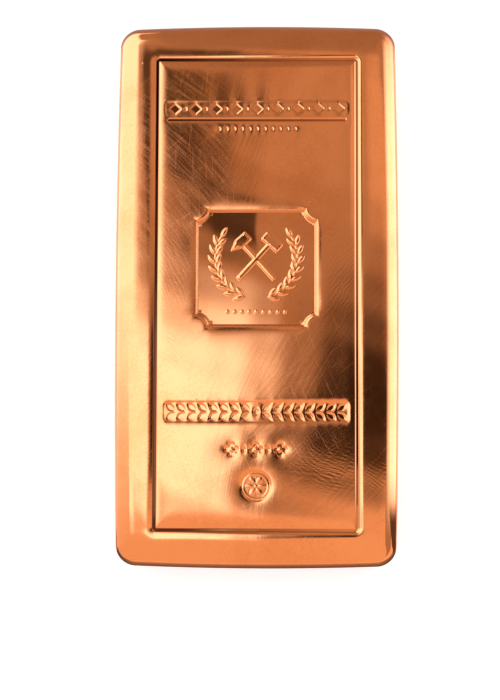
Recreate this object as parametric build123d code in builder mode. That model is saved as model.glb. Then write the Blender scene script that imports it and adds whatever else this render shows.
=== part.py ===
from build123d import *
from math import cos, radians, tan
import os

# A five kilogram copper ingot, cast as one block and then struck on its upper face.
# It lies on its base: X across, Y along, Z up, with the origin at the middle of the base.

# Driving dimensions of the block, in millimetres and degrees
LENGTH = 190.0
WIDTH = 99.0
THICKNESS = 30.8
SIDE_BOW = 1.0
END_BOW = 0.8
WALL_DRAFT = 2.0
SHOULDER_RADIUS = 6.8
RIM_CORNER_RADIUS = 0.6
BASE_RADIUS = 3.2

# The frame line struck round the panel of the upper face: a groove with a flat floor and wide rolled lips
SIDE_RIM_WIDTH = 13.6
END_RIM_WIDTH = 12.1
FRAME_CORNER_RADIUS = 3.0
FRAME_DEPTH = 0.55
FRAME_WALL_DRAFT = 53.0
FRAME_FLOOR_WIDTH = 0.8
FRAME_LIP_RADIUS = 2.5
PANEL_CORNER_RADIUS = 0.3

# The square plaque with scooped corners, struck into the panel
PLAQUE_WIDTH = 42.3
PLAQUE_LENGTH = 41.2
PLAQUE_CENTRE_Y = 8.4
PLAQUE_SCOOP_RADIUS = 4.0
PLAQUE_DEPTH = 1.0
PLAQUE_WALL_DRAFT = 47.0
PLAQUE_LIP_RADIUS = 1.6

# The straight rule struck across the upper part of the panel
RULE_SIDE_MARGIN = 4.7
RULE_TOP_MARGIN = 22.5
RULE_WIDTH = 1.1
RULE_DEPTH = 0.35

# The shoulder takes a little off the drafted walls, so the outline at the top is that much larger
draft = radians(WALL_DRAFT)
shoulder_loss = SHOULDER_RADIUS * (tan(draft) + 1 / cos(draft) - 1)
half_width = WIDTH / 2 + shoulder_loss
half_length = LENGTH / 2 + shoulder_loss
corner_x = half_width - SIDE_BOW
corner_y = half_length - END_BOW

# The frame's walls turn down from the face over their lips, which may take most of a wall and never all of it
frame_turn = radians(90 - FRAME_WALL_DRAFT)
wall_run = FRAME_DEPTH / tan(frame_turn)
whole_wall_lip = FRAME_DEPTH / (1 - cos(frame_turn))
most_of_wall = 0.95
frame_lip = min(FRAME_LIP_RADIUS, most_of_wall * whole_wall_lip)
lip_reach = frame_lip * tan(frame_turn / 2)

# The frame's outer edge, and how far in from it the panel's foot stands
frame_width = WIDTH - 2 * SIDE_RIM_WIDTH
frame_length = LENGTH - 2 * END_RIM_WIDTH
frame_floor = THICKNESS - FRAME_DEPTH
foot_inset = wall_run + FRAME_FLOOR_WIDTH
foot_width = frame_width - 2 * foot_inset
foot_length = frame_length - 2 * foot_inset
foot_corner = PANEL_CORNER_RADIUS + lip_reach + wall_run

rule_length = frame_width - 2 * RULE_SIDE_MARGIN
rule_y = frame_length / 2 - RULE_TOP_MARGIN

with BuildPart() as ingot:
    # The block: four slightly swollen sides, drawn in towards the base
    with BuildSketch(Plane.XY.offset(THICKNESS)) as outline:
        with BuildLine():
            ThreePointArc((corner_x, -corner_y), (half_width, 0), (corner_x, corner_y))
            ThreePointArc((corner_x, corner_y), (0, half_length), (-corner_x, corner_y))
            ThreePointArc((-corner_x, corner_y), (-half_width, 0), (-corner_x, -corner_y))
            ThreePointArc((-corner_x, -corner_y), (0, -half_length), (corner_x, -corner_y))
        make_face()
        fillet(outline.vertices(), SHOULDER_RADIUS + RIM_CORNER_RADIUS)
    extrude(amount=-THICKNESS, taper=WALL_DRAFT)

    # The soft shoulder round the upper face, and the smaller round at the base
    fillet(ingot.faces().sort_by(Axis.Z)[-1].edges(), SHOULDER_RADIUS)
    fillet(ingot.faces().sort_by(Axis.Z)[0].edges(), BASE_RADIUS)

    # The frame line: a drafted pocket, in which the panel stands up again to the height of the rim
    with BuildSketch(Plane.XY.offset(THICKNESS)):
        RectangleRounded(frame_width, frame_length, FRAME_CORNER_RADIUS)
    extrude(amount=-FRAME_DEPTH, taper=FRAME_WALL_DRAFT, mode=Mode.SUBTRACT)
    rim_face = ingot.faces().sort_by(Axis.Z)[-1]
    fillet(rim_face.inner_wires()[0].edges(), frame_lip)
    with BuildSketch(Plane.XY.offset(frame_floor)):
        RectangleRounded(foot_width, foot_length, foot_corner)
    extrude(amount=FRAME_DEPTH, taper=FRAME_WALL_DRAFT)
    panel_face = ingot.faces().filter_by(Axis.Z).group_by(Axis.Z)[-1].sort_by(SortBy.AREA)[-1]
    fillet(panel_face.outer_wire().edges(), frame_lip)

    # The plaque, with a rolled lip of its own
    with BuildSketch(Plane.XY.offset(THICKNESS)):
        with Locations((0, PLAQUE_CENTRE_Y)):
            Rectangle(PLAQUE_WIDTH, PLAQUE_LENGTH)
            with GridLocations(PLAQUE_WIDTH, PLAQUE_LENGTH, 2, 2):
                Circle(PLAQUE_SCOOP_RADIUS, mode=Mode.SUBTRACT)
    extrude(amount=-PLAQUE_DEPTH, taper=PLAQUE_WALL_DRAFT, mode=Mode.SUBTRACT)
    panel_face = ingot.faces().filter_by(Axis.Z).group_by(Axis.Z)[-1].sort_by(SortBy.AREA)[-1]
    fillet(panel_face.inner_wires()[0].edges(), PLAQUE_LIP_RADIUS)

    # The rule
    with BuildSketch(Plane.XY.offset(THICKNESS)):
        with Locations((0, rule_y)):
            SlotOverall(rule_length, RULE_WIDTH)
    extrude(amount=-RULE_DEPTH, mode=Mode.SUBTRACT)

ingot.part.label = "copper_ingot"
os.makedirs("parts", exist_ok=True)
export_step(ingot.part, "parts/copper_ingot.step")
print("volume in cubic centimetres:", ingot.part.volume / 1000)
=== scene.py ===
import math

import bpy
import numpy as np
from bpy.props import FloatProperty, FloatVectorProperty, PointerProperty
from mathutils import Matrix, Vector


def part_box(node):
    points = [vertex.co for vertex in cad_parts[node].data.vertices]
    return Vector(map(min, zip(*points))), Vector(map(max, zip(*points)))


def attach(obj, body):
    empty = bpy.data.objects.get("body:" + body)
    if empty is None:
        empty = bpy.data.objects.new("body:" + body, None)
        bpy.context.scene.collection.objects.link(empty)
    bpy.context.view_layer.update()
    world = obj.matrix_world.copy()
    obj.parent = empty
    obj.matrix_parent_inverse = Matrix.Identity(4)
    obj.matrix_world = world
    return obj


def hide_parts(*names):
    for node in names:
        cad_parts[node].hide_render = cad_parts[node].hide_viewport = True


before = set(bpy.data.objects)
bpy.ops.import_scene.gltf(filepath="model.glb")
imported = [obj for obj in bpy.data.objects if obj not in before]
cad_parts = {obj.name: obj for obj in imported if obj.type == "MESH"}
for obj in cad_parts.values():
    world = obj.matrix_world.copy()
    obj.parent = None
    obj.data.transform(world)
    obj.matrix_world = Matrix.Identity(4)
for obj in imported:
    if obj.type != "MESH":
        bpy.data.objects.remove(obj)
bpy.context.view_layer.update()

bl_info = {
    "name": "Struck Copper Ingot",
    "version": (1, 0, 0),
    "blender": (4, 5, 0),
    "location": "3D View > Sidebar > Ingot",
    "description": "Casts a five kilogram copper ingot, strikes its upper face and sets it in a studio",
    "category": "Object",
}

MM = 0.001
NODE = "copper_ingot"
BLOCK_LOW, BLOCK_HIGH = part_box(NODE)
BLOCK_SIZE = BLOCK_HIGH - BLOCK_LOW


# Settings

def length(name, description, default):
    return FloatProperty(name=name, description=description, default=default, unit="LENGTH", precision=5)


def angle(name, description, degrees):
    return FloatProperty(name=name, description=description, default=math.radians(degrees), subtype="ANGLE")


def share(name, description, default):
    return FloatProperty(name=name, description=description, default=default, min=0.0, max=1.0,
                         subtype="FACTOR")


def brightness(name, description, default):
    return FloatProperty(name=name, description=description, default=default, min=0.0)


def colour(name, description, default):
    return FloatVectorProperty(name=name, description=description, default=default, size=3, min=0.0, max=1.0,
                               subtype="COLOR")


class IngotBlock(bpy.types.PropertyGroup):
    """The cast block"""
    width: length("Width", "Width across the widest part of the shoulders", BLOCK_SIZE.x)
    length: length("Length", "Length along the longest part of the shoulders", BLOCK_SIZE.y)
    thickness: length("Thickness", "Height of the upper face above the base", BLOCK_HIGH.z)
    side_bow: length("Side bow", "How far the long sides swell out at their middle", 1.0 * MM)
    end_bow: length("End bow", "How far the ends swell out at their middle", 0.8 * MM)
    wall_draft: angle("Wall draft", "Slope of the walls, which draw in towards the base", 2.0)
    shoulder_radius: length("Shoulder", "Radius of the round between walls and upper face", 6.8 * MM)
    rim_corner_radius: length("Rim corner", "Corner radius of the flat upper face", 0.6 * MM)
    base_radius: length("Base round", "Radius of the round between walls and base", 3.2 * MM)
    crown_width: length("Crown", "How far in from the outline the rim begins to fall away", 12.5 * MM)
    crown_slope: angle("Crown slope", "How steeply the rim falls where the shoulder begins", 4.2)
    waviness: length(
        "Waviness", "Height of the gentle waves that polishing left on the upper face", 0.09 * MM)


class StruckFace(bpy.types.PropertyGroup):
    """What is struck into the upper face"""
    side_rim: length("Side rim", "Width of the rim beside the frame line, shoulder included", 13.6 * MM)
    end_rim: length("End rim", "Width of the rim at the ends, shoulder included", 12.1 * MM)
    frame_corner: length("Frame corner", "Corner radius along the middle of the frame line", 1.0 * MM)
    frame_depth: length("Frame depth", "Depth of the frame line", 0.55 * MM)
    frame_draft: angle("Frame draft", "Slope of the frame line's walls from upright", 53.0)
    frame_floor: length("Frame floor", "Width of the frame line's flat bottom", 0.8 * MM)
    frame_drawn: length(
        "Frame draw-in", "How far the metal is drawn down at the frame line's edges", 0.28 * MM)
    frame_reach: length("Frame reach", "How far from the frame line the metal is drawn down", 1.1 * MM)
    aslant: share("Aslant", "How unevenly the die pressed, from one corner of the face to the other", 0.42)
    plaque_width: length("Plaque width", "Width of the sunken plaque", 42.3 * MM)
    plaque_length: length("Plaque length", "Length of the sunken plaque", 41.2 * MM)
    plaque_centre: length("Plaque centre", "Distance of the plaque's middle above the ingot's", 8.4 * MM)
    plaque_scoop: length("Plaque scoop", "Radius of the plaque's scooped corners", 4.0 * MM)
    plaque_depth: length("Plaque depth", "Depth of the plaque", 1.0 * MM)
    plaque_draft: angle("Plaque draft", "Slope of the plaque's walls from upright", 47.0)
    plaque_drawn: length(
        "Plaque draw-in", "How far the metal is drawn down at the plaque's edges", 0.2 * MM)
    plaque_reach: length("Plaque reach", "How far from the plaque the metal is drawn down", 1.6 * MM)
    rule_side_margin: length("Rule margin", "Distance from the rule's ends to the frame line", 4.7 * MM)
    rule_top_margin: length("Rule drop", "Distance of the rule below the frame line's top", 22.5 * MM)
    rule_width: length("Rule width", "Width of the struck rule", 1.1 * MM)
    rule_depth: length("Rule depth", "Depth of the struck rule", 0.35 * MM)
    mark_depth: length("Mark depth", "Depth of the struck rows of ornament", 0.13 * MM)
    band_depth: length("Band depth", "Depth of the shallow bands that hold the two long rows", 0.09 * MM)
    relief: length("Relief", "Height of the raised emblem over the plaque's floor", 0.5 * MM)
    draw_in: length("Draw-in", "How far the metal sinks close beside a struck mark", 0.04 * MM)
    draw_reach: length("Draw-in reach", "How far from a struck mark the metal still sinks", 0.4 * MM)
    hollow: length("Hollow", "Depth of the wide shallow hollow round the struck marks", 0.1 * MM)
    hollow_reach: length("Hollow reach", "How far from a struck mark the wide hollow reaches", 3.8 * MM)


class CopperFinish(bpy.types.PropertyGroup):
    """The look of the metal"""
    metal: colour("Copper", "Colour of the bright metal", (0.93, 0.27, 0.083))
    tarnish: colour("Tarnish", "Colour where the metal has darkened a little", (0.84, 0.22, 0.06))
    # Painted shade: this dark colour is mixed into the frame line's walls, the plaque's foot and the rule,
    # darkest towards the left.
    painted_crevice_shade: colour(
        "Crevice", "Colour of the dark tarnish left where polishing doesn't reach", (0.1, 0.024, 0.008))
    roughness: share("Roughness", "Roughness of the hand-polished surfaces", 0.09)
    struck_roughness: share("Struck roughness", "Roughness where the polished die touched", 0.04)
    drag_roughness: share("Drag", "Roughness added where the die's walls dragged on the metal", 0.2)
    haze: share("Haze", "Roughness added along arcs where the face was wiped", 0.1)
    hair_roughness: share("Hairlines", "Roughness added along the fine hairlines", 0.1)
    arc_depth: length("Polishing arcs", "Depth of the lines left by the polishing wheel", 0.009 * MM)
    ripple_depth: length("Ripples", "Depth of the ripples left in patches", 0.0025 * MM)
    grain_depth: length("Grain", "Depth of the fine grain", 0.002 * MM)
    pit_depth: length("Pits", "Depth of the scattered casting pits", 0.01 * MM)


class IngotStudio(bpy.types.PropertyGroup):
    """Camera, floor and lamps"""
    camera_place: FloatVectorProperty(
        name="Camera", description="Where the camera stands", default=(0.0129, -0.0676, 0.5970), size=3,
        subtype="TRANSLATION")
    camera_turn: FloatVectorProperty(
        name="Camera turn", description="How the camera is turned",
        default=[math.radians(degrees) for degrees in (4.80, 1.50, 0.22)], size=3, subtype="EULER")
    camera_lens: FloatProperty(
        name="Lens", description="Focal length of the camera in millimetres", default=85.0)
    floor_colour: colour("Floor", "Colour of the pale floor", (0.86, 0.86, 0.86))
    room: brightness("Room", "Brightness of the room all round", 0.5)
    front_card: brightness("Front card", "Brightness of the pale card in front of the ingot", 0.99)
    back_card: brightness("Back card", "Brightness of the grey card behind the ingot", 0.42)
    softbox: brightness("Softboxes", "Brightness of the softboxes at the sides", 3.1)
    overhead: brightness("Overhead softbox", "Brightness of the softbox overhead", 3.2)
    glow: brightness("Glow", "Brightness of the lit floor on either side of the ingot", 1.6)
    glow_colour: colour(
        "Glow colour", "Tint of the lit floor on either side of the ingot", (0.62, 1.0, 1.0))
    middle_fill: brightness("Middle fill", "Brightness of the pale card overhead at the back", 0.64)
    right_fill: brightness("Right fill", "Brightness of the pale card overhead on the right", 0.85)
    right_board: brightness("Right board", "Brightness of the low board on the right", 3.6)
    shade: brightness("Shade", "Brightness of the shaded floor and corner cards", 0.12)
    lamp_colour: FloatVectorProperty(
        name="Lamp colour", description="Tint of the softboxes' light", default=(0.64, 1.0, 1.55), size=3,
        min=0.0, max=2.0, subtype="COLOR")
    left_flag: brightness("Left flag", "Brightness of the dark card overhead on the left", 0.088)
    right_flag: brightness("Right flag", "Brightness of the dark card overhead on the right", 0.035)


# Selecting and reading meshes

def deselect_all():
    bpy.ops.object.select_all(action="DESELECT")


def vertex_places(mesh):
    places = np.empty(len(mesh.vertices) * 3)
    mesh.vertices.foreach_get("co", places)
    return places.reshape(-1, 3)


def face_centres(mesh):
    centres = np.empty(len(mesh.polygons) * 3)
    mesh.polygons.foreach_get("center", centres)
    return centres.reshape(-1, 3)


def set_places(mesh, places):
    mesh.vertices.foreach_set("co", places.ravel())
    mesh.update()


def cut_finer(ingot, wanted):
    """Cuts each face whose middle is wanted into four."""
    mesh = ingot.data
    centres = face_centres(mesh)
    bpy.context.tool_settings.mesh_select_mode = (False, False, True)
    bpy.ops.object.mode_set(mode="EDIT")
    bpy.ops.mesh.select_all(action="DESELECT")
    bpy.ops.object.mode_set(mode="OBJECT")
    mesh.polygons.foreach_set("select", wanted(centres[:, 0], centres[:, 1]))
    bpy.ops.object.mode_set(mode="EDIT")
    bpy.ops.mesh.subdivide(number_cuts=1, ngon=False)
    bpy.ops.object.mode_set(mode="OBJECT")


# Plane figures, as signed distances: below zero inside, above zero outside

def ease(low, high, value):
    """Rises smoothly from 0 at low to 1 at high."""
    t = np.clip((value - low) / (high - low), 0.0, 1.0)
    return t * t * (3.0 - 2.0 * t)


def bar(x, y, half_width, half_height, corner):
    over_x = np.abs(x) - half_width + corner
    over_y = np.abs(y) - half_height + corner
    outside = np.hypot(np.maximum(over_x, 0.0), np.maximum(over_y, 0.0))
    return outside + np.minimum(np.maximum(over_x, over_y), 0.0) - corner


def pellet(x, y, radius):
    return np.hypot(x, y) - radius


def oval(x, y, half_width, half_height):
    return (np.hypot(x / half_width, y / half_height) - 1.0) * min(half_width, half_height)


def lozenge(x, y, half_width, half_height):
    scale = half_width * half_height / math.hypot(half_width, half_height)
    return (np.abs(x) / half_width + np.abs(y) / half_height - 1.0) * scale


def leaf(x, y, half_length, half_width):
    radius = (half_length ** 2 + half_width ** 2) / (2.0 * half_width)
    return np.hypot(x, np.abs(y) + radius - half_width) - radius


def turned(x, y, centre_x, centre_y, turn):
    """Places as seen from a centre, along axes turned by an angle."""
    across = x - centre_x
    along = y - centre_y
    cosine = math.cos(turn)
    sine = math.sin(turn)
    return cosine * across + sine * along, cosine * along - sine * across


def in_row(x, pitch, count):
    """Places as seen from the nearest of a row of like figures."""
    middle = (count - 1) / 2.0
    nearest = np.clip(np.round(x / pitch + middle), 0, count - 1)
    return x - (nearest - middle) * pitch


# The struck rows of ornament

ROW_WIDTH = 61.6 * MM
LOZENGE_ROW_Y = 64.2 * MM
LOZENGE_COUNT = 9
LOZENGE_WIDTH = 4.6 * MM
LOZENGE_HEIGHT = 4.0 * MM
LOZENGE_PELLET = 0.62 * MM


def lozenge_row(x, y):
    """Sunken lozenges with pellets between them."""
    pitch = (ROW_WIDTH - LOZENGE_WIDTH) / (LOZENGE_COUNT - 1)
    y = y - LOZENGE_ROW_Y
    lozenges = lozenge(in_row(x, pitch, LOZENGE_COUNT), y, LOZENGE_WIDTH / 2, LOZENGE_HEIGHT / 2)
    pellets = pellet(in_row(x, pitch, LOZENGE_COUNT - 1), y, LOZENGE_PELLET)
    return np.minimum(lozenges, pellets)


PELLET_ROW_Y = 57.1 * MM
PELLET_ROW_WIDTH = 27.7 * MM
PELLET_COUNT = 11
PELLET_RADIUS = 0.65 * MM


def pellet_row(x, y):
    pitch = (PELLET_ROW_WIDTH - 2 * PELLET_RADIUS) / (PELLET_COUNT - 1)
    return pellet(in_row(x, pitch, PELLET_COUNT), y - PELLET_ROW_Y, PELLET_RADIUS)


LEAF_ROW_Y = -41.4 * MM
LEAF_ROW_PAIRS = 8
LEAF_ROW_LEAN = math.radians(42.0)
LEAF_ROW_LEAF = 3.9 * MM
LEAF_ROW_LEAF_WIDTH = 2.1 * MM
LEAF_ROW_STEM = 0.15 * MM


def leaf_row(x, y):
    """A garland: pairs of leaves that lean away from a pellet in the middle, to either end."""
    y = np.abs(y - LEAF_ROW_Y)
    x = np.abs(x)
    tip_reach = LEAF_ROW_LEAF * math.cos(LEAF_ROW_LEAN)
    first = LEAF_ROW_LEAF_WIDTH
    pitch = (ROW_WIDTH / 2 - first - tip_reach) / (LEAF_ROW_PAIRS - 1)
    nearest = np.full_like(x, ROW_WIDTH)
    for pair in range(LEAF_ROW_PAIRS):
        along, across = turned(x, y, first + pair * pitch, LEAF_ROW_STEM, LEAF_ROW_LEAN)
        leaves = leaf(along - LEAF_ROW_LEAF / 2, across, LEAF_ROW_LEAF / 2, LEAF_ROW_LEAF_WIDTH / 2)
        nearest = np.minimum(nearest, leaves)
    return np.minimum(nearest, pellet(x, y, LEAF_ROW_LEAF_WIDTH / 2))


FLORET_ROW_Y = -54.3 * MM
FLORET_ROW_WIDTH = 21.6 * MM
FLORET_COUNT = 3
FLORET_RADIUS = 2.5 * MM
FLORET_PETAL = 1.2 * MM
FLORET_EYE = 0.45 * MM
FLORET_PELLET = 0.75 * MM


def floret_row(x, y):
    """Sunken florets of four round petals, each with an eye left standing, and pellets between them."""
    pitch = (FLORET_ROW_WIDTH - 2 * FLORET_RADIUS) / (FLORET_COUNT - 1)
    y = y - FLORET_ROW_Y
    beside = np.abs(in_row(x, pitch, FLORET_COUNT))
    above = np.abs(y)
    outwards = np.maximum(beside, above) - FLORET_RADIUS + FLORET_PETAL
    petals = pellet(outwards, np.minimum(beside, above), FLORET_PETAL)
    florets = np.maximum(petals, -pellet(beside, above, FLORET_EYE))
    pellets = pellet(in_row(x, pitch, FLORET_COUNT - 1), y, FLORET_PELLET)
    return np.minimum(florets, pellets)


MEDALLION_Y = -66.8 * MM
MEDALLION_RADIUS = 5.3 * MM
ROSETTE_RING = 4.25 * MM
ROSETTE_RING_WIDTH = 0.5 * MM
ROSETTE_PETALS = 6
ROSETTE_RADIUS = 3.6 * MM
ROSETTE_PETAL = 0.8 * MM
ROSETTE_EYE = 0.62 * MM


def medallion(x, y):
    return pellet(x, y - MEDALLION_Y, MEDALLION_RADIUS)


def rosette(x, y):
    """The raised figure in the medallion."""
    y = y - MEDALLION_Y
    out = np.hypot(x, y)
    sector = 2.0 * math.pi / ROSETTE_PETALS
    bearing = np.mod(np.arctan2(y, x) + sector / 2, sector) - sector / 2
    petal_length = ROSETTE_RADIUS - ROSETTE_EYE
    outwards = out * np.cos(bearing) - ROSETTE_RADIUS + petal_length / 2
    petals = leaf(outwards, out * np.sin(bearing), petal_length / 2, ROSETTE_PETAL)
    ring = np.abs(out - ROSETTE_RING) - ROSETTE_RING_WIDTH / 2
    eye = out - ROSETTE_EYE
    return np.minimum(np.minimum(petals, ring), eye)


STRUCK_ROWS = (lozenge_row, pellet_row, leaf_row, floret_row)

# The shallow bands round the two long rows: middle and half height
ROW_BANDS = ((LOZENGE_ROW_Y, 2.6 * MM), (LEAF_ROW_Y, 3.7 * MM))
BAND_HALF_WIDTH = ROW_WIDTH / 2 + 1.1 * MM
BAND_CORNER = 1.6 * MM
BAND_EDGE = 1.3 * MM


def row_bands(x, y):
    """Distance to the nearest edge of a band."""
    bands = [bar(x, y - middle, BAND_HALF_WIDTH, half, BAND_CORNER) for middle, half in ROW_BANDS]
    return np.minimum.reduce(bands)


# The raised emblem in the plaque: a crossed mallet and pick between two sprigs, over a row of pellets

TOOLS_Y = 3.2 * MM
TOOL_LEAN = math.radians(48.0)
HANDLE_LENGTH = 19.0 * MM
HANDLE_WIDTH = 1.7 * MM
HANDLE_ROUND = 0.4 * MM
HEAD_AT = 8.0 * MM
HEAD_WIDTH = 3.5 * MM
MALLET_LENGTH = 7.2 * MM
MALLET_ROUND = 0.5 * MM
PICK_BLUNT = 3.3 * MM
PICK_POINT = 4.6 * MM
PICK_TAPER = 3.4 * MM
SPRIG_Y = 3.6 * MM
SPRIG_RADIUS = 14.2 * MM
SPRIG_START = -72.0
SPRIG_END = 30.0
STEM_WIDTH = 0.6 * MM
LEAF_PAIRS = 8
LEAF_LENGTH = 4.0 * MM
LEAF_WIDTH = 1.5 * MM
LEAF_LEAN = math.radians(34.0)
EMBLEM_PELLETS = 9
EMBLEM_PELLET = 0.62 * MM
EMBLEM_PELLET_PITCH = 2.5 * MM
EMBLEM_PELLETS_Y = -15.2 * MM

# How high each of its figures stands, as a share of the relief
MALLET_HANDLE_TOP = 0.75
PICK_HANDLE_TOP = 0.55
HEAD_TOP = 1.0
PELLET_TOP = 0.7
STEM_TOP = 0.5
LEAF_TOP = 0.8


def rounded_up(distance, edge):
    """A raised figure with a round edge: 0 outside it, 1 on its top."""
    t = np.clip(-distance / edge, 0.0, 1.0)
    return np.sqrt(t * (2.0 - t))


def handle(along, across):
    return bar(along, across, HANDLE_LENGTH / 2, HANDLE_WIDTH / 2, HANDLE_ROUND)


def mallet_head(along, across):
    return bar(along - HEAD_AT, across, HEAD_WIDTH / 2, MALLET_LENGTH / 2, MALLET_ROUND)


def pick_head(along, across):
    taper = np.clip((PICK_POINT - across) / PICK_TAPER, 0.0, 1.0)
    beside = np.abs(along - HEAD_AT) - taper * HEAD_WIDTH / 2
    return np.maximum(beside, -across - PICK_BLUNT)


def sprig_leaves(x, y):
    """Each leaf of the sprig on the right, as a signed distance."""
    step = (SPRIG_END - SPRIG_START) / LEAF_PAIRS
    for pair in range(LEAF_PAIRS + 1):
        bearing = math.radians(SPRIG_START + pair * step)
        foot_x = SPRIG_RADIUS * math.cos(bearing)
        foot_y = SPRIG_Y + SPRIG_RADIUS * math.sin(bearing)
        leans = (LEAF_LEAN, -LEAF_LEAN) if pair < LEAF_PAIRS else (0.0,)
        for lean in leans:
            along, across = turned(x, y, foot_x, foot_y, bearing + math.pi / 2 + lean)
            yield leaf(along - LEAF_LENGTH / 2, across, LEAF_LENGTH / 2, LEAF_WIDTH / 2)


def sprig_stem(x, y):
    bearing = np.degrees(np.arctan2(y - SPRIG_Y, x))
    off_end = np.maximum(np.maximum(SPRIG_START - bearing, bearing - SPRIG_END), 0.0)
    beside = np.abs(np.hypot(x, y - SPRIG_Y) - SPRIG_RADIUS) - STEM_WIDTH / 2
    return beside + np.radians(off_end) * SPRIG_RADIUS


def emblem(x, y):
    """Height of the emblem, from 0 to 1, and the distance to its nearest edge."""
    mallet = turned(x, y, 0.0, TOOLS_Y, TOOL_LEAN)
    pick = turned(x, y, 0.0, TOOLS_Y, math.pi - TOOL_LEAN)
    row = in_row(x, EMBLEM_PELLET_PITCH, EMBLEM_PELLETS)
    figures = [
        (handle(*mallet), HANDLE_WIDTH / 2, MALLET_HANDLE_TOP),
        (handle(*pick), HANDLE_WIDTH / 2, PICK_HANDLE_TOP),
        (mallet_head(*mallet), MALLET_ROUND, HEAD_TOP),
        (pick_head(*pick), MALLET_ROUND, HEAD_TOP),
        (pellet(row, y - EMBLEM_PELLETS_Y, EMBLEM_PELLET), EMBLEM_PELLET, PELLET_TOP),
        (sprig_stem(np.abs(x), y), STEM_WIDTH / 2, STEM_TOP),
    ]
    figures += [(distance, LEAF_WIDTH / 2, LEAF_TOP) for distance in sprig_leaves(np.abs(x), y)]
    height = np.zeros_like(x)
    nearest = np.full_like(x, PICK_POINT)
    for distance, edge, top in figures:
        height = np.maximum(height, top * rounded_up(distance, edge))
        nearest = np.minimum(nearest, np.abs(distance))
    return height, nearest


# The upper face

CREASE = 0.07 * MM
DRAWN_LINES = (3.0, 2.2, 1.6, 1.15, 0.8, 0.5, 0.25)
ASLANT_ACROSS = 4.0
ASLANT_ALONG = 0.4


class StruckWall:
    """A drafted wall pressed in by the die, with the metal beside it drawn down towards its edge."""

    def __init__(self, depth, draft, drawn, reach):
        self.depth = depth
        self.drawn = drawn
        self.reach = reach
        self.slope = 1.0 / math.tan(draft)
        self.edge = drawn / self.slope
        self.foot = depth / self.slope

    def height(self, inwards, spread):
        """Height at a distance inwards from where the bare wall would meet the face."""
        beside = -self.drawn * np.exp(np.minimum(inwards - self.edge, 0.0) / (self.reach * spread))
        wall = -np.maximum(inwards, self.edge) * self.slope
        return np.maximum(np.where(inwards < self.edge, beside, wall), -self.depth)

    def floor(self, inwards):
        """1 on the floor at the wall's foot, 0 on the wall and beside it."""
        return ease(self.foot - CREASE, self.foot, inwards)

    def lines(self):
        """Where a mesh needs its lines, as distances inwards."""
        beside = [self.edge - self.reach * part for part in DRAWN_LINES]
        edge = [self.edge - CREASE, self.edge, self.edge + CREASE]
        return beside + edge + [self.foot - CREASE, self.foot, self.foot + CREASE]


def frame_wall(face):
    return StruckWall(face.frame_depth, face.frame_draft, face.frame_drawn, face.frame_reach)


def plaque_wall(face):
    return StruckWall(face.plaque_depth, face.plaque_draft, face.plaque_drawn, face.plaque_reach)


def pressed_aslant(block, face, x, y):
    """How far the metal is drawn in at a place, because the die pressed a little harder at one corner."""
    return 1.0 - face.aslant * (ASLANT_ACROSS * x / block.width + ASLANT_ALONG * y / block.length)


def frame_half_size(block, face):
    """Half the size of the frame line, measured to the middle of its bottom."""
    to_bottom = frame_wall(face).foot + face.frame_floor / 2
    return block.width / 2 - face.side_rim - to_bottom, block.length / 2 - face.end_rim - to_bottom


def from_frame_line(block, face, x, y):
    """Distance from the middle of the frame line's bottom, to either side."""
    half_width, half_length = frame_half_size(block, face)
    return np.abs(bar(x, y, half_width, half_length, face.frame_corner))


def from_scoop(face, x, y):
    """Distance from the edge of the nearest of the plaque's scooped corners: below zero in the scoop."""
    beside = np.abs(x) - face.plaque_width / 2
    above = np.abs(y - face.plaque_centre) - face.plaque_length / 2
    return np.hypot(beside, above) - face.plaque_scoop


def into_plaque(face, x, y):
    """Distance inwards from the plaque's edge."""
    sides = bar(x, y - face.plaque_centre, face.plaque_width / 2, face.plaque_length / 2, 0.0)
    return np.minimum(-sides, from_scoop(face, x, y))


def rule(block, face, x, y):
    half_length = block.width / 2 - face.side_rim - face.rule_side_margin
    rule_y = block.length / 2 - face.end_rim - face.rule_top_margin
    return bar(x, y - rule_y, half_length, face.rule_width / 2, face.rule_width / 2)


def all_marks(block, face, x, y):
    """Distance to the nearest struck mark on the panel."""
    marks = [row(x, y) for row in STRUCK_ROWS]
    marks += [medallion(x, y), rule(block, face, x, y)]
    return np.minimum.reduce(marks)


MARK_BEVEL = 0.28 * MM
POLISHED_FROM = 0.3
ROSETTE_EDGE = 0.35 * MM
MEDALLION_SHARE = 0.9
ROSETTE_SHARE = 0.75
FULL_PRESS = 1.5
# Share of the painted shade along the plaque's foot
PLAQUE_FOOT_SHADE = 0.5
WIDEST_SPREAD = 1.2
SCOOP_SPREAD = 0.3

# The waves: their turn per millimetre across and along the face, and where they start
LONG_WAVES = ((0.105, 0.062, 0.7), (0.043, -0.118, 2.1))
LONG_WAVE_SHARE = 0.42
SHORT_WAVES = ((0.31, 0.21, 4.0), (0.17, -0.26, 0.0))
SHORT_WAVE_SHARE = 0.2


def waves(x, y):
    """Gentle waves of about 1 either way, in several directions and lengths."""

    def wave(across, along, start):
        return np.sin(across * (x / MM) + along * (y / MM) + start)

    long_waves = wave(*LONG_WAVES[0]) + wave(*LONG_WAVES[1])
    short_waves = wave(*SHORT_WAVES[0]) * wave(*SHORT_WAVES[1])
    return LONG_WAVE_SHARE * long_waves + SHORT_WAVE_SHARE * short_waves


def crown(block, x, y):
    """How far the rim falls away towards the shoulders."""
    bend = block.crown_width - block.shoulder_radius
    slope = math.tan(block.crown_slope)
    fall = np.zeros_like(x)
    for beyond in (np.abs(x) - block.width / 2, np.abs(y) - block.length / 2):
        beyond = np.maximum(beyond + block.crown_width, 0.0)
        fall += np.where(beyond < bend, beyond ** 2 / (2.0 * bend), beyond - bend / 2.0)
    return -slope * fall


def draw_in(face, distance):
    """How far the metal sinks beside a struck mark."""
    outside = np.maximum(distance, 0.0)
    close = face.draw_in * np.exp(-outside / face.draw_reach)
    return -close - face.hollow * np.exp(-outside / face.hollow_reach)


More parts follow.
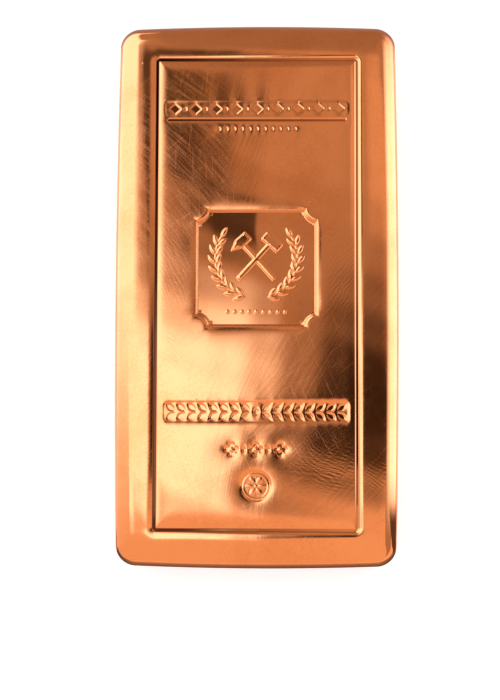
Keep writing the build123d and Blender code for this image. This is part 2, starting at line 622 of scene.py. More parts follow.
def strike(block, face, x, y):
    """Height of the struck face, where the die polished it and dragged on it, and where shade is painted dark
    into its creases.
    """
    frame_edge = frame_wall(face)
    plaque_edge = plaque_wall(face)
    spread = pressed_aslant(block, face, x, y)
    to_edge = frame_edge.foot + face.frame_floor / 2
    inwards = to_edge - from_frame_line(block, face, x, y)
    height = frame_edge.height(inwards, spread)
    polish = frame_edge.floor(inwards)
    # Painted shade on the frame line's walls
    dark = ease(frame_edge.edge, frame_edge.foot, inwards)

    inwards = into_plaque(face, x, y)
    relief, _ = emblem(x, y - face.plaque_centre)
    by_scoop = ease(0.0, face.plaque_scoop, from_scoop(face, x, y))
    plaque_spread = np.minimum(spread ** 2, WIDEST_SPREAD)
    plaque_spread = plaque_spread * (SCOOP_SPREAD + (1.0 - SCOOP_SPREAD) * by_scoop)
    height += plaque_edge.height(inwards, plaque_spread)
    height += face.relief * relief * (inwards > plaque_edge.foot)
    polish = np.maximum(polish, plaque_edge.floor(inwards))
    dragged = ease(0.0, plaque_edge.edge, inwards) - plaque_edge.floor(inwards)
    # Painted shade along the foot of the plaque's walls
    foot_line = ease(plaque_edge.edge, plaque_edge.foot, inwards) - plaque_edge.floor(inwards)
    dark = np.maximum(dark, PLAQUE_FOOT_SHADE * foot_line)

    height -= face.band_depth * ease(-BAND_EDGE / 2, BAND_EDGE / 2, -row_bands(x, y))
    for row in STRUCK_ROWS:
        distance = row(x, y)
        height -= face.mark_depth * ease(0.0, MARK_BEVEL, -distance)
        polish = np.maximum(polish, ease(POLISHED_FROM * MARK_BEVEL, MARK_BEVEL, -distance))
    distance = medallion(x, y)
    height -= MEDALLION_SHARE * face.mark_depth * ease(0.0, MARK_BEVEL, -distance)
    height += ROSETTE_SHARE * face.mark_depth * rounded_up(rosette(x, y), ROSETTE_EDGE) * (distance < 0)
    distance = rule(block, face, x, y)
    height -= face.rule_depth * ease(0.0, MARK_BEVEL, -distance)
    polish = np.maximum(polish, ease(POLISHED_FROM * MARK_BEVEL, MARK_BEVEL, -distance))
    # Painted shade in the rule
    dark = np.maximum(dark, ease(0.0, MARK_BEVEL, -distance))
    height += draw_in(face, all_marks(block, face, x, y))
    # The painted shade is scaled by how hard the die pressed, so it is darkest towards the left and fades
    # towards the right.
    return height, polish, dragged, dark * np.minimum(spread / FULL_PRESS, 1.0)


# The block's mesh

FACE_STEP = 1.32 * MM
PLATEAU_MARGIN = 0.5 * MM
NEAR_EDGES = (1.0 * MM, 0.55 * MM, 0.27 * MM)
SHOULDER_RINGS = 14
WALL_RINGS = 4
BASE_RINGS = 6
BASE_INSET = 4.0 * MM
RING_DROP = 1.0 * MM
HIGHEST_WAVE = 1.05
OUTLINE_STEPS = 240
SMALLEST_CORNER = 0.1 * MM


def shoulder_inset(block):
    """How far the flat upper face stands in from where walls and face would meet with no shoulder."""
    return block.shoulder_radius * (math.tan(block.wall_draft) + 1.0 / math.cos(block.wall_draft))


def section(block):
    """The block's section from the upper face to the base: how far in, and how high, each ring is."""
    draft = block.wall_draft
    wall_turn = math.pi / 2 + draft
    top_in = shoulder_inset(block)
    top_z = block.thickness - block.shoulder_radius
    base_in = (block.thickness - block.base_radius) * math.tan(draft) + block.base_radius / math.cos(draft)
    rings = []
    for turn in np.linspace(0.0, wall_turn, SHOULDER_RINGS):
        rings.append((top_in - block.shoulder_radius * math.sin(turn),
                      top_z + block.shoulder_radius * math.cos(turn)))
    base_round = []
    for turn in np.linspace(wall_turn, math.pi, BASE_RINGS):
        base_round.append((base_in - block.base_radius * math.sin(turn),
                           block.base_radius + block.base_radius * math.cos(turn)))
    wall = np.linspace(rings[-1], base_round[0], WALL_RINGS + 2)[1:-1]
    return rings + [tuple(ring) for ring in wall] + base_round + [(base_in + BASE_INSET, 0.0)]


def quarter_outline(block, inset):
    """A quarter of the bowed outline, set in by an inset: its side, then its end, each up to mid-corner."""
    loss = shoulder_inset(block) - block.shoulder_radius
    half_width = block.width / 2 + loss - inset
    half_length = block.length / 2 + loss - inset
    radius = max(block.shoulder_radius + block.rim_corner_radius - inset, SMALLEST_CORNER)
    corner_x = half_width - block.side_bow - radius
    corner_y = half_length - block.end_bow - radius
    part = np.linspace(0.0, 1.0, OUTLINE_STEPS)
    round_part = np.linspace(0.0, math.pi / 4, OUTLINE_STEPS // 4)
    side_y = corner_y * part
    side_x = corner_x + radius + block.side_bow * (1.0 - part ** 2)
    end_x = corner_x * part
    end_y = corner_y + radius + block.end_bow * (1.0 - part ** 2)
    side = np.column_stack([np.append(side_x, corner_x + radius * np.cos(round_part)),
                            np.append(side_y, corner_y + radius * np.sin(round_part))])
    end = np.column_stack([np.append(end_x, corner_x + radius * np.sin(round_part)),
                           np.append(end_y, corner_y + radius * np.cos(round_part))])
    return side, end


def along_line(line, fraction):
    """Points at fractions of a line's length."""
    steps = np.hypot(*np.diff(line, axis=0).T)
    done = np.append(0.0, np.cumsum(steps)) / steps.sum()
    return np.interp(fraction, done, line[:, 0]), np.interp(fraction, done, line[:, 1])


def ring_places(block, inset, across, along):
    """Moves a ring from the upper face's rectangle to the outline: across and along run from -1 to 1."""
    side, end = quarter_outline(block, inset)
    on_side = np.abs(across) >= np.abs(along)
    side_x, side_y = along_line(side, np.abs(along))
    end_x, end_y = along_line(end, np.abs(across))
    return (np.where(on_side, side_x, end_x) * np.sign(across),
            np.where(on_side, side_y, end_y) * np.sign(along))


def filled(lines):
    """A sorted list of lines, with even ones added between those that are far apart."""
    lines = sorted(lines)
    result = [lines[0]]
    for start, end in zip(lines, lines[1:]):
        count = max(1, math.ceil((end - start) / FACE_STEP))
        result += [start + (end - start) * (part + 1) / count for part in range(count)]
    return np.array(result)


def face_lines(block, face):
    """Where the upper face's mesh lines run: close at the frame line and the plaque's walls."""
    frame_edge = frame_wall(face)
    half_frame_x, half_frame_y = frame_half_size(block, face)
    to_edge = frame_edge.foot + face.frame_floor / 2
    beside_frame = [to_edge - inwards for inwards in frame_edge.lines()]
    beside_frame = [0.0] + beside_frame + [-distance for distance in beside_frame]
    plaque_lines = plaque_wall(face).lines()
    to_plateau = shoulder_inset(block) - block.shoulder_radius * math.tan(block.wall_draft) + PLATEAU_MARGIN
    half_x = block.width / 2 - block.side_bow - to_plateau
    half_y = block.length / 2 - block.end_bow - to_plateau
    right = [half_x] + [half_frame_x + distance for distance in beside_frame]
    right += [face.plaque_width / 2 - inwards for inwards in plaque_lines]
    x_lines = [0.0] + right + [-x for x in right]
    top = [half_y] + [half_frame_y + distance for distance in beside_frame]
    to_wall = [face.plaque_length / 2 - inwards for inwards in plaque_lines]
    y_lines = top + [-y for y in top]
    y_lines += [face.plaque_centre + y for y in to_wall] + [face.plaque_centre - y for y in to_wall]
    return filled(x_lines), filled(y_lines)


def add_face_grid(x_lines, y_lines):
    """Adds the upper face as a grid with its lines where they are wanted."""
    deselect_all()
    columns = len(x_lines) - 1
    rows = len(y_lines) - 1
    bpy.ops.mesh.primitive_grid_add(x_subdivisions=columns, y_subdivisions=rows, size=2.0)
    ingot = bpy.context.object
    places = vertex_places(ingot.data)
    column = np.round((places[:, 0] + 1.0) / 2.0 * columns).astype(int)
    row = np.round((places[:, 1] + 1.0) / 2.0 * rows).astype(int)
    places[:, 0] = x_lines[column]
    places[:, 1] = y_lines[row]
    set_places(ingot.data, places)
    return ingot


def refine_marks(ingot, block, face):
    """Cuts the grid finer near the ornaments' edges, again and again as they come nearer."""
    foot = plaque_wall(face).foot

    def to_edge(x, y):
        _, to_emblem = emblem(x, y - face.plaque_centre)
        inwards = into_plaque(face, x, y)
        far_off = NEAR_EDGES[0] * 2
        edges = [
            np.abs(all_marks(block, face, x, y)),
            np.abs(row_bands(x, y)) + NEAR_EDGES[-1],
            np.where(inwards > foot, to_emblem, far_off),
            np.where(medallion(x, y) < 0, np.abs(rosette(x, y)), far_off),
        ]
        return np.minimum.reduce(edges)

    def near_scoop(x, y):
        corner_x = np.abs(x) > face.plaque_width / 2 - face.plaque_scoop - NEAR_EDGES[0]
        from_middle = np.abs(y - face.plaque_centre)
        corner_y = from_middle > face.plaque_length / 2 - face.plaque_scoop - NEAR_EDGES[0]
        inwards = into_plaque(face, x, y)
        return corner_x & corner_y & (inwards > -NEAR_EDGES[0]) & (inwards < foot + NEAR_EDGES[1])

    for near in NEAR_EDGES:
        with_scoops = near > NEAR_EDGES[-1]
        cut_finer(ingot, lambda x, y: (to_edge(x, y) < near) | (near_scoop(x, y) & with_scoops))


def extrude_walls(ingot, ring_count):
    """Extrudes the grid's border downwards, ring by ring, and closes the base."""
    bpy.context.tool_settings.mesh_select_mode = (False, True, False)
    bpy.ops.object.mode_set(mode="EDIT")
    bpy.ops.mesh.select_all(action="DESELECT")
    bpy.ops.mesh.select_non_manifold()
    for _ in range(ring_count):
        bpy.ops.mesh.extrude_edges_move(TRANSFORM_OT_translate={"value": (0.0, 0.0, -RING_DROP)})
    bpy.ops.mesh.edge_face_add()
    bpy.ops.mesh.select_all(action="SELECT")
    bpy.ops.mesh.normals_make_consistent(inside=False)
    bpy.ops.object.mode_set(mode="OBJECT")


def shape_block(ingot, block, face):
    """Brings each ring to its place on the block's section, and strikes the upper face."""
    mesh = ingot.data
    places = vertex_places(mesh)
    rings = np.round(-places[:, 2] / RING_DROP).astype(int)
    x = places[:, 0].copy()
    y = places[:, 1].copy()
    half_x = x.max()
    half_y = y.max()
    upper = rings == 0
    polish = np.zeros(len(places))
    dragged = np.zeros(len(places))
    dark = np.zeros(len(places))
    struck, polish[upper], dragged[upper], dark[upper] = strike(block, face, x[upper], y[upper])
    places[upper, 2] = block.thickness + struck
    for index, (inset, height) in enumerate(section(block), start=1):
        ring = rings == index
        places[ring, 0], places[ring, 1] = ring_places(block, inset, x[ring] / half_x, y[ring] / half_y)
        places[ring, 2] = height
    shoulder_start = block.thickness - block.shoulder_radius
    on_top = ease(shoulder_start, block.thickness - block.shoulder_radius / 2, places[:, 2])
    uneven = block.waviness * (waves(places[:, 0], places[:, 1]) - HIGHEST_WAVE)
    places[:, 2] += (uneven + crown(block, places[:, 0], places[:, 1])) * on_top
    set_places(mesh, places)
    # die_polish and die_drag only set roughness; the third attribute carries the painted shade.
    for name, values in (("die_polish", polish), ("die_drag", dragged), ("painted_crevice_shade", dark)):
        attribute = mesh.attributes.new(name, "FLOAT", "POINT")
        attribute.data.foreach_set("value", values)


def cast_ingot(block, face):
    ingot = add_face_grid(*face_lines(block, face))
    ingot.name = "struck_ingot"
    ingot.data.name = "struck_ingot"
    refine_marks(ingot, block, face)
    extrude_walls(ingot, len(section(block)))
    shape_block(ingot, block, face)
    bpy.ops.object.shade_smooth()
    return ingot


# Shader nodes

def math_node(tree, operation, first, second=0.0, third=0.0):
    """Adds a Math node and returns its output: each value is a number or another node's output."""
    node = tree.nodes.new("ShaderNodeMath")
    node.operation = operation
    for socket, value in zip(node.inputs, (first, second, third)):
        if isinstance(value, bpy.types.NodeSocket):
            tree.links.new(value, socket)
        else:
            socket.default_value = value
    return node.outputs[0]


def noise_node(tree, place, scale, detail=3.0, roughness=0.5, distortion=0.0):
    node = tree.nodes.new("ShaderNodeTexNoise")
    node.inputs["Scale"].default_value = scale
    node.inputs["Detail"].default_value = detail
    node.inputs["Roughness"].default_value = roughness
    node.inputs["Distortion"].default_value = distortion
    tree.links.new(place, node.inputs["Vector"])
    return node.outputs["Fac"]


def range_node(tree, value, low, high, to_low=0.0, to_high=1.0):
    node = tree.nodes.new("ShaderNodeMapRange")
    node.interpolation_type = "SMOOTHSTEP"
    tree.links.new(value, node.inputs["Value"])
    node.inputs["From Min"].default_value = low
    node.inputs["From Max"].default_value = high
    node.inputs["To Min"].default_value = to_low
    node.inputs["To Max"].default_value = to_high
    return node.outputs["Result"]


def vector_length(tree, vector):
    node = tree.nodes.new("ShaderNodeVectorMath")
    node.operation = "LENGTH"
    tree.links.new(vector, node.inputs[0])
    return node.outputs["Value"]


def attribute_node(tree, name):
    node = tree.nodes.new("ShaderNodeAttribute")
    node.attribute_name = name
    return node.outputs["Fac"]


def colour_mix(tree, factor, second):
    """Adds a Mix node for colours, which goes from its first colour to a second one."""
    node = tree.nodes.new("ShaderNodeMix")
    node.data_type = "RGBA"
    tree.links.new(factor, node.inputs["Factor"])
    node.inputs["B"].default_value = (*second, 1.0)
    return node


# The copper: scales are in cells per metre, and arcs give their middle, their lines' pitch and their sweep

ARC_DETAIL = 4.0
ARC_ROUGHNESS = 0.6
WHEEL_ARCS = ((-0.16, 0.11, 0.0), 0.0011, 5.0)
CROSS_ARCS = ((0.13, -0.09, 0.0), 0.0014, 4.0)
BRUSHED_ARCS = ((0.0, -0.2, 0.0), 0.0007, 5.0)
WIPED_ARCS = ((-0.1, -0.03, 0.0), 0.0009, 8.0)
HAIRLINES = ((-0.12, 0.16, 0.0), 0.00036, 12.0)
CROSS_HAIRLINES = ((0.2, 0.05, 0.0), 0.0004, 12.0)
TURNED_SCALE = 26.0
CLOUD_ROUGHNESS = 0.06
GRAIN_IN_COLOUR = 0.5
PIT_SCALE = 95.0
PIT_ROUGHNESS = 0.3
WOBBLE_SCALE = 150.0
WOBBLE = 16.0
RIPPLE_SWEEP = 14.0
RIPPLE_BREAK = 2.5
RAGGED_SCALE = 160.0
RAGGED = 0.7

# Noises: scale, detail, roughness and distortion
CLOUDS = (38.0, 5.0, 0.6, 0.4)
GRAIN = (1100.0, 4.0, 0.65, 0.0)

# Where a noise begins to show as a mark, and where it shows in full
TURNED_SHOWN = (0.45, 0.62)
HAIRS_SHOWN = (0.55, 0.75)
WIPES_SHOWN = (0.3, 0.75)
RIPPLES_SHOWN = (0.35, 0.7)
TARNISH_SHOWN = (0.38, 0.75)
PIT_EDGE = (0.015, 0.04)

# Where the face was wiped, and where it was brushed: middle and half size of the patch, in millimetres
WIPED_PATCH = ((-26.0, 42.0), (24.0, 54.0))
BRUSHED_PATCH = ((23.0, -56.0), (18.0, 17.0))

# Where the wheel chattered: middle and half size of the patch, middle of the arcs, and pitch, in millimetres
CHATTER_PATCHES = (
    ((-28.5, 8.0), (6.5, 20.0), (-60.0, -12.0), 1.25),
    ((-30.0, -24.0), (7.0, 14.0), (-58.0, -52.0), 1.3),
    ((24.0, -57.0), (14.0, 13.0), (42.0, -24.0), 1.3),
    ((-26.0, 42.0), (9.0, 11.0), (20.0, 96.0), 1.5),
    ((42.0, 62.0), (6.0, 18.0), (14.0, 40.0), 1.6),
    ((30.0, 10.0), (7.0, 22.0), (64.0, -20.0), 1.3),
    ((42.0, -62.0), (5.0, 9.0), (20.0, -96.0), 1.2),
)


def from_centre(tree, place, centre):
    """How far a place is from a centre, and in what bearing."""
    away = tree.nodes.new("ShaderNodeVectorMath")
    away.operation = "SUBTRACT"
    tree.links.new(place, away.inputs[0])
    away.inputs[1].default_value = centre
    split = tree.nodes.new("ShaderNodeSeparateXYZ")
    tree.links.new(away.outputs["Vector"], split.inputs["Vector"])
    bearing = math_node(tree, "ARCTAN2", split.outputs["Y"], split.outputs["X"])
    return vector_length(tree, away.outputs["Vector"]), bearing


def polishing_arcs(tree, place, centre, pitch, sweep):
    """Lines that run along arcs round a centre, as a wheel leaves them: 0 to 1."""
    reach, bearing = from_centre(tree, place, centre)
    join = tree.nodes.new("ShaderNodeCombineXYZ")
    tree.links.new(math_node(tree, "DIVIDE", reach, pitch), join.inputs["X"])
    tree.links.new(math_node(tree, "MULTIPLY", bearing, sweep), join.inputs["Y"])
    return noise_node(tree, join.outputs["Vector"], 1.0, ARC_DETAIL, ARC_ROUGHNESS)


def ripples(tree, place, centre, pitch):
    """Chatter marks along arcs round a centre: uneven, and 1 at most."""
    reach, _ = from_centre(tree, place, centre)
    wobble = math_node(tree, "MULTIPLY", noise_node(tree, place, WOBBLE_SCALE, 2.0), WOBBLE)
    phase = math_node(tree, "MULTIPLY_ADD", reach, 2.0 * math.pi / pitch, wobble)
    strength = polishing_arcs(tree, place, centre, RIPPLE_BREAK * pitch, RIPPLE_SWEEP)
    shown = range_node(tree, strength, *RIPPLES_SHOWN)
    return math_node(tree, "MULTIPLY", math_node(tree, "SINE", phase), shown)


def patch(tree, place, centre, half_size):
    """1 in the middle of an oval patch on the upper face, 0 outside it."""
    shift = tree.nodes.new("ShaderNodeMapping")
    shift.vector_type = "TEXTURE"
    shift.inputs["Location"].default_value = (centre[0] * MM, centre[1] * MM, 0.0)
    shift.inputs["Scale"].default_value = (half_size[0] * MM, half_size[1] * MM, 1.0)
    tree.links.new(place, shift.inputs["Vector"])
    reach = vector_length(tree, shift.outputs["Vector"])
    ragged = math_node(tree, "MULTIPLY_ADD", noise_node(tree, place, RAGGED_SCALE, 3.0), RAGGED, reach)
    return range_node(tree, ragged, 0.5 + RAGGED / 2, 1.0 + RAGGED / 2, 1.0, 0.0)


def wheel_lines(tree, place):
    """Lines of the polishing wheel, which was turned another way in some places, and of the brush."""
    one_way = range_node(tree, noise_node(tree, place, TURNED_SCALE, 2.0), *TURNED_SHOWN)
    other_way = math_node(tree, "SUBTRACT", 1.0, one_way)
    lines = math_node(tree, "MULTIPLY", polishing_arcs(tree, place, *CROSS_ARCS), other_way)
    lines = math_node(tree, "MULTIPLY_ADD", polishing_arcs(tree, place, *WHEEL_ARCS), one_way, lines)
    brushed = polishing_arcs(tree, place, *BRUSHED_ARCS)
    return math_node(tree, "MULTIPLY_ADD", brushed, patch(tree, place, *BRUSHED_PATCH), lines)


def hairlines(tree, place):
    hairs = polishing_arcs(tree, place, *HAIRLINES)
    hairs = math_node(tree, "MAXIMUM", hairs, polishing_arcs(tree, place, *CROSS_HAIRLINES))
    return range_node(tree, hairs, *HAIRS_SHOWN)


def wiped_arcs(tree, place):
    arcs = range_node(tree, polishing_arcs(tree, place, *WIPED_ARCS), *WIPES_SHOWN)
    return math_node(tree, "MULTIPLY", arcs, patch(tree, place, *WIPED_PATCH))


def chatter_marks(tree, place):
    chatter = 0.0
    for middle, half_size, arc_middle, pitch in CHATTER_PATCHES:
        arc_centre = (arc_middle[0] * MM, arc_middle[1] * MM, BLOCK_HIGH.z)
        here = patch(tree, place, middle, half_size)
        chatter = math_node(tree, "MULTIPLY_ADD", ripples(tree, place, arc_centre, pitch * MM), here, chatter)
    return chatter


def casting_pits(tree, place):
    cells = tree.nodes.new("ShaderNodeTexVoronoi")
    cells.inputs["Scale"].default_value = PIT_SCALE
    tree.links.new(place, cells.inputs["Vector"])
    return range_node(tree, cells.outputs["Distance"], *PIT_EDGE, 1.0, 0.0)


def copper(finish):
    """Hand-polished copper, with arcs, chatter and pits, bright in the struck marks, with shade painted dark
    into its creases.
    """
    material = bpy.data.materials.new("struck_copper")
    material.use_nodes = True
    tree = material.node_tree
    shader = tree.nodes["Principled BSDF"]
    shader.inputs["Metallic"].default_value = 1.0
    place = tree.nodes.new("ShaderNodeTexCoord").outputs["Object"]
    polish = attribute_node(tree, "die_polish")
    hand = math_node(tree, "SUBTRACT", 1.0, polish)

    def by_hand(marks):
        """Marks that stand only where the die didn't polish them away."""
        return math_node(tree, "MULTIPLY", marks, hand)

    clouds = noise_node(tree, place, *CLOUDS)
    grain = noise_node(tree, place, *GRAIN)
    shade = math_node(tree, "MULTIPLY_ADD", math_node(tree, "SUBTRACT", grain, 0.5), GRAIN_IN_COLOUR, clouds)
    tarnished = colour_mix(tree, range_node(tree, shade, *TARNISH_SHOWN), finish.tarnish)
    tarnished.inputs["A"].default_value = (*finish.metal, 1.0)
    # Painted shade: the base colour goes towards a near-black colour along the painted crevice shade mask.
    darkened = colour_mix(tree, attribute_node(tree, "painted_crevice_shade"), finish.painted_crevice_shade)
    tree.links.new(tarnished.outputs["Result"], darkened.inputs["A"])
    tree.links.new(darkened.outputs["Result"], shader.inputs["Base Color"])

    pits = by_hand(casting_pits(tree, place))
    rough = math_node(tree, "MULTIPLY_ADD", clouds, CLOUD_ROUGHNESS, finish.roughness - CLOUD_ROUGHNESS / 2)
    for where, added in (
        (by_hand(hairlines(tree, place)), finish.hair_roughness),
        (by_hand(wiped_arcs(tree, place)), finish.haze),
        (pits, PIT_ROUGHNESS),
        (polish, finish.struck_roughness - finish.roughness),
        (attribute_node(tree, "die_drag"), finish.drag_roughness),
    ):
        rough = math_node(tree, "MULTIPLY_ADD", where, added, rough)
    tree.links.new(rough, shader.inputs["Roughness"])

    depth = 0.0
    for where, rise in (
        (by_hand(wheel_lines(tree, place)), finish.arc_depth),
        (by_hand(chatter_marks(tree, place)), finish.ripple_depth),
        (by_hand(grain), finish.grain_depth),
        (pits, -finish.pit_depth),
    ):
        depth = math_node(tree, "MULTIPLY_ADD", where, rise, depth)
    bump = tree.nodes.new("ShaderNodeBump")
    bump.inputs["Distance"].default_value = 1.0
    tree.links.new(depth, bump.inputs["Height"])
    tree.links.new(bump.outputs["Normal"], shader.inputs["Normal"])
    return material


# The studio

FLOOR_SIZE = 8.0
FLOOR_ROUGHNESS = 0.9
FLOOR_GLOW = 0.45
FLOOR_LIFT = 0.0005
CEILING = 0.63
FLAG_DROP = 0.01
WHITE = (1.0, 1.0, 1.0)
NO_FADES = (0.0, 0.0, 0.0, 0.0)
HARD_EDGE = 0.002
LAMP_HEIGHT = 1.2
LAMP_SIZE = 1.6
LAMP_POWER = 9.0
CAMERA_NEAREST = 0.01


def card_material(name, brightness, tint, fades):
    """A plain card of one brightness, which fades out at its edges: left, right, near and far."""
    material = bpy.data.materials.new(name)
    material.use_nodes = True
    material.cycles.emission_sampling = "NONE"
    tree = material.node_tree
    tree.nodes.remove(tree.nodes["Principled BSDF"])
    split = tree.nodes.new("ShaderNodeSeparateXYZ")
    tree.links.new(tree.nodes.new("ShaderNodeTexCoord").outputs["UV"], split.inputs["Vector"])
    left, right, near, far = [max(fade, HARD_EDGE) for fade in fades]
    shown = math_node(tree, "MULTIPLY", range_node(tree, split.outputs["X"], 0.0, left),
                      range_node(tree, split.outputs["X"], 1.0, 1.0 - right))
    shown = math_node(tree, "MULTIPLY", shown, range_node(tree, split.outputs["Y"], 0.0, near))
    shown = math_node(tree, "MULTIPLY", shown, range_node(tree, split.outputs["Y"], 1.0, 1.0 - far))
    glow = tree.nodes.new("ShaderNodeEmission")
    glow.inputs["Color"].default_value = (*tint, 1.0)
    glow.inputs["Strength"].default_value = brightness
    mix = tree.nodes.new("ShaderNodeMixShader")
    tree.links.new(shown, mix.inputs["Fac"])
    tree.links.new(tree.nodes.new("ShaderNodeBsdfTransparent").outputs["BSDF"], mix.inputs[1])
    tree.links.new(glow.outputs["Emission"], mix.inputs[2])
    tree.links.new(mix.outputs["Shader"], tree.nodes["Material Output"].inputs["Surface"])
    return material


def add_card(name, corners, brightness, tint=WHITE, fades=NO_FADES):
    """Adds a flat card that only reflections see, from its corners in the order of a plane's own."""
    deselect_all()
    bpy.ops.mesh.primitive_plane_add(size=1.0)
    card = bpy.context.object
    card.name = name
    set_places(card.data, np.array(corners))
    card.data.materials.append(card_material(name, brightness, tint, fades))
    card.visible_camera = False
    card.visible_diffuse = False
    card.visible_shadow = False


def mirrored_at(studio, x, y, ceiling):
    """The place at the ceiling that the camera sees mirrored in the upper face at x, y."""
    eye_x, eye_y, eye_z = studio.camera_place
    rise = (ceiling - BLOCK_HIGH.z) / (eye_z - BLOCK_HIGH.z)
    return x + (x - eye_x) * rise, y + (y - eye_y) * rise, ceiling


def add_ceiling_card(name, studio, x_range, y_range, brightness, slant=0.0, skew=0.0, drop=0.0, **look):
    """Adds a card overhead by the stretch of the upper face that shows it, in millimetres.

    A slant sets its far end further to the right, and a skew sets its left end further back.
    """
    corners = []
    for y, lean in zip(y_range, (-slant, slant)):
        for x, shift in zip(x_range, (skew, -skew)):
            corners.append(mirrored_at(studio, (x + lean) * MM, (y + shift) * MM, CEILING - drop))
    add_card(name, corners, brightness, **look)


def add_side_card(name, x_range, y_range, heights, brightness, **look):
    """Adds a card that stands beside the ingot: its x at foot and top, and its y and height at either end."""
    corners = []
    for x, rise in zip(x_range, (0.0, 1.0)):
        for y, height in zip(y_range, heights):
            corners.append((x, y, height * rise))
    add_card(name, corners, brightness, **look)


def add_end_card(name, foot_x, top_x, y_range, height, brightness, **look):
    """Adds a card that stands across the ingot's end: its ends' x at foot and top, and its y there."""
    corners = [(x, y_range[0], 0.0) for x in foot_x]
    corners += [(x, y_range[1], height) for x in top_x]
    add_card(name, corners, brightness, **look)


def add_floor_card(name, x_range, y_range, brightness, **look):
    """Adds a card that lies on the floor."""
    corners = [(x, y, FLOOR_LIFT) for y in y_range for x in x_range]
    add_card(name, corners, brightness, **look)


def add_overhead_cards(studio):
    lamps = studio.lamp_colour
    add_ceiling_card("overhead_box", studio, (-110, 8), (-78, 20), studio.overhead, slant=6, skew=10,
                     tint=lamps, fades=(0.0, 0.18, 0.08, 0.47))
    add_ceiling_card("left_top", studio, (-330, -50), (-96, 330), studio.softbox, drop=-FLAG_DROP,
                     tint=lamps, fades=(0.0, 0.21, 0.05, 0.0))
    add_ceiling_card("left_flag", studio, (-58, 2), (23, 112), studio.left_flag, skew=24, drop=FLAG_DROP,
                     fades=(0.12, 0.3, 0.16, 0.4))
    add_ceiling_card("plaque_flag", studio, (-26, 0.5), (12, 33), studio.left_flag, drop=2 * FLAG_DROP,
                     fades=(0.3, 0.08, 0.5, 0.25))
    add_ceiling_card("right_flag", studio, (8, 440), (-68, 18), studio.right_flag, slant=14, drop=FLAG_DROP,
                     fades=(0.05, 0.0, 0.1, 0.5))
    add_ceiling_card("middle_fill", studio, (-12, 40), (20, 104), studio.middle_fill,
                     fades=(0.3, 0.3, 0.3, 0.2))
    add_ceiling_card("right_fill", studio, (32, 330), (10, 104), studio.right_fill, drop=FLAG_DROP,
                     fades=(0.1, 0.0, 0.4, 0.3))


def add_standing_cards(studio):
    lamps = studio.lamp_colour
    to_ceiling = (CEILING, CEILING)
    add_side_card("left_wall", (-0.09, -0.45), (-0.11, 0.45), to_ceiling, studio.softbox,
                  tint=lamps, fades=(0.24, 0.0, 0.0, 0.0))
    add_side_card("left_front", (-0.091, -0.451), (-0.5, 0.05), to_ceiling, studio.front_card)
    add_side_card("right_board", (0.09, 0.09), (-0.088, 0.16), (0.07, 0.088), studio.right_board,
                  tint=lamps, fades=(0.12, 0.4, 0.0, 0.55))
    add_side_card("right_corner", (0.075, 0.075), (-0.105, -0.07), (0.01, 0.045), studio.shade,
                  fades=(0.2, 0.3, 0.0, 0.3))
    add_side_card("left_corner", (-0.075, -0.075), (-0.115, -0.08), (0.007, 0.007), studio.shade,
                  fades=(0.4, 0.2, 0.0, 0.4))
    add_end_card("left_back", (-0.7, -0.115), (-0.7, -0.105), (0.45, 0.45), 0.5, studio.softbox,
                 tint=lamps, fades=(0.0, 0.12, 0.0, 0.3))
    add_end_card("back_board", (-0.043, 0.088), (-0.043, 0.088), (0.125, 0.16), 0.3, studio.back_card,
                 fades=(0.05, 0.25, 0.0, 0.4))
    add_end_card("front_card", (-0.8, 0.8), (-0.8, 0.8), (-1.0, -0.078), 0.66, studio.front_card)


def add_floor_cards(studio):
    lit = {"brightness": studio.glow, "tint": studio.glow_colour}
    add_floor_card("front_apron", (-0.4, 0.4), (-0.8, -0.24), studio.front_card)
    add_floor_card("left_glow", (-0.25, BLOCK_LOW.x), (-0.08, 0.1), fades=(0.3, 0.0, 0.15, 0.1), **lit)
    add_floor_card("right_glow", (BLOCK_HIGH.x, 0.25), (-0.08, 0.1), fades=(0.0, 0.3, 0.15, 0.1), **lit)
    add_floor_card("front_shade", (-0.12, 0.12), (-0.24, BLOCK_LOW.y), studio.shade,
                   fades=(0.2, 0.2, 1.0, 0.0))
    add_floor_card("back_shade", (-0.09, 0.1), (BLOCK_HIGH.y, 0.3), studio.back_card,
                   fades=(0.15, 0.2, 0.0, 0.5))


def floor_material(studio):
    """A pale floor that is white to the camera and to reflections, and still takes the ingot's shadow."""
    material = bpy.data.materials.new("studio_floor")
    material.use_nodes = True
    tree = material.node_tree
    shader = tree.nodes["Principled BSDF"]
    shader.inputs["Base Color"].default_value = (*studio.floor_colour, 1.0)
    shader.inputs["Roughness"].default_value = FLOOR_ROUGHNESS
    shader.inputs["Specular IOR Level"].default_value = 0.0
    rays = tree.nodes.new("ShaderNodeLightPath")
    seen = math_node(tree, "MAXIMUM", rays.outputs["Is Camera Ray"], rays.outputs["Is Glossy Ray"])
    seen = math_node(tree, "MAXIMUM", seen, rays.outputs["Is Transmission Ray"])
    shader.inputs["Emission Color"].default_value = (*WHITE, 1.0)
    tree.links.new(math_node(tree, "MULTIPLY", seen, FLOOR_GLOW), shader.inputs["Emission Strength"])
    return material


def add_floor(studio):
    deselect_all()
    bpy.ops.mesh.primitive_plane_add(size=FLOOR_SIZE)
    floor = bpy.context.object
    floor.name = "studio_floor"
    floor.data.materials.append(floor_material(studio))


def add_floor_lamp():
    deselect_all()
    bpy.ops.object.light_add(type="AREA", location=(0.0, 0.0, LAMP_HEIGHT))
    lamp = bpy.context.object
    lamp.name = "floor_lamp"
    lamp.data.size = LAMP_SIZE
    lamp.data.energy = LAMP_POWER
    lamp.visible_camera = False
    lamp.visible_glossy = False


def add_room(studio):
    world = bpy.data.worlds.new("studio_room")
    bpy.context.scene.world = world
    world.use_nodes = True
    world.cycles.sampling_method = "NONE"
    background = world.node_tree.nodes["Background"]
    background.inputs["Color"].default_value = (*WHITE, 1.0)
    background.inputs["Strength"].default_value = studio.room


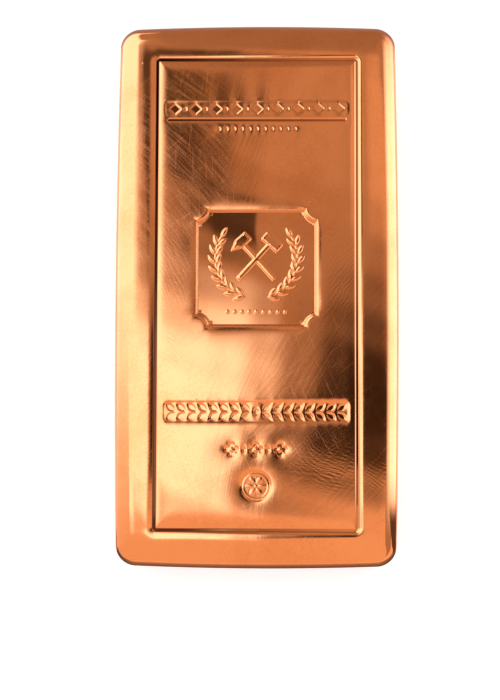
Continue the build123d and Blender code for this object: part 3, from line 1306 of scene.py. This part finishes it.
def add_camera(studio):
    deselect_all()
    bpy.ops.object.camera_add(location=studio.camera_place, rotation=studio.camera_turn)
    camera = bpy.context.object
    camera.name = "photo_camera"
    camera.data.lens = studio.camera_lens
    camera.data.clip_start = CAMERA_NEAREST
    bpy.context.scene.camera = camera


def build_studio(studio):
    add_floor(studio)
    add_floor_lamp()
    add_overhead_cards(studio)
    add_standing_cards(studio)
    add_floor_cards(studio)
    add_room(studio)
    add_camera(studio)
    bpy.context.scene.view_settings.view_transform = "Standard"


# Operators and panel

class INGOT_OT_cast(bpy.types.Operator):
    """Cast the block, strike its upper face and polish the copper"""
    bl_idname = "ingot.cast"
    bl_label = "Cast and Strike the Ingot"

    def execute(self, context):
        scene = context.scene
        ingot = cast_ingot(scene.ingot_block, scene.ingot_face)
        ingot.data.materials.append(copper(scene.ingot_finish))
        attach(ingot, "root")
        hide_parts(NODE)
        return {"FINISHED"}


class INGOT_OT_studio(bpy.types.Operator):
    """Set up the floor, the lamps and the camera"""
    bl_idname = "ingot.studio"
    bl_label = "Set Up the Studio"

    def execute(self, context):
        build_studio(context.scene.ingot_studio)
        return {"FINISHED"}


class INGOT_PT_panel(bpy.types.Panel):
    """The ingot's sizes, finish and studio"""
    bl_label = "Copper Ingot"
    bl_idname = "INGOT_PT_panel"
    bl_space_type = "VIEW_3D"
    bl_region_type = "UI"
    bl_category = "Ingot"

    def draw(self, context):
        for settings in (context.scene.ingot_block, context.scene.ingot_face, context.scene.ingot_finish):
            box = self.layout.box()
            for name in settings.__annotations__:
                box.prop(settings, name)
        self.layout.operator(INGOT_OT_cast.bl_idname)
        box = self.layout.box()
        for name in IngotStudio.__annotations__:
            box.prop(context.scene.ingot_studio, name)
        self.layout.operator(INGOT_OT_studio.bl_idname)


CLASSES = (IngotBlock, StruckFace, CopperFinish, IngotStudio, INGOT_OT_cast, INGOT_OT_studio, INGOT_PT_panel)


def register():
    for cls in CLASSES:
        bpy.utils.register_class(cls)
    bpy.types.Scene.ingot_block = PointerProperty(type=IngotBlock)
    bpy.types.Scene.ingot_face = PointerProperty(type=StruckFace)
    bpy.types.Scene.ingot_finish = PointerProperty(type=CopperFinish)
    bpy.types.Scene.ingot_studio = PointerProperty(type=IngotStudio)


def unregister():
    del bpy.types.Scene.ingot_studio
    del bpy.types.Scene.ingot_finish
    del bpy.types.Scene.ingot_face
    del bpy.types.Scene.ingot_block
    for cls in reversed(CLASSES):
        bpy.utils.unregister_class(cls)


def main():
    register()
    bpy.ops.ingot.cast()
    bpy.ops.ingot.studio()


if __name__ == "__main__":
    main()
